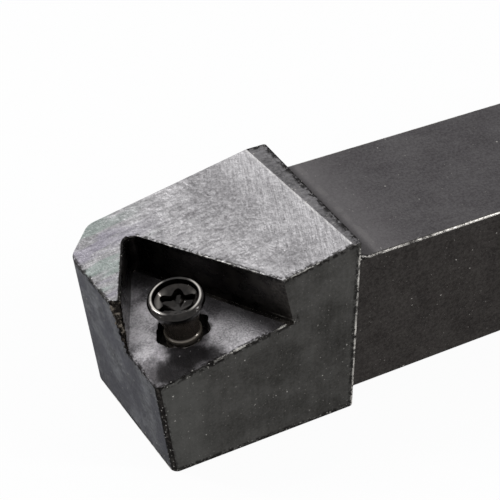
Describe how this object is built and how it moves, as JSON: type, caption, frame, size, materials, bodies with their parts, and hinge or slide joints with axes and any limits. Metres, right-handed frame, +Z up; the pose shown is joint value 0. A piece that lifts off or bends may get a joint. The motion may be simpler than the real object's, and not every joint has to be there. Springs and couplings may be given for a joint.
{
  "type": "turning tool holder",
  "caption": "Square-shank lathe tool holder with a raised head, an empty three-cornered insert pocket and its seat screw standing part-way out.",
  "frame": {"origin": "on the underside of the shank, on its centre line, at the shoulder where the head meets the shank", "axes": "+X along the shank away from the cutting end, +Y towards the far side that stands flush with the head, +Z up through the head"},
  "size_m": [0.1255, 0.0227, 0.0243],
  "materials": {
    "blackened_steel": "machined and blackened, with bare worn edges",
    "screw_steel": "glossy black oxide"
  },
  "bodies": {
    "bar": {"holder_bar": "blackened_steel"},
    "screw": {"seat_screw": "screw_steel"}
  },
  "joints": [
    {"name": "seat_screw_turn", "type": "hinge", "parent": "bar", "child": "screw", "pos_m": [-0.01912, -0.006, 0.01482], "axis": [-0.1751, -0.0498, 0.9833], "continuous": true}
  ]
}
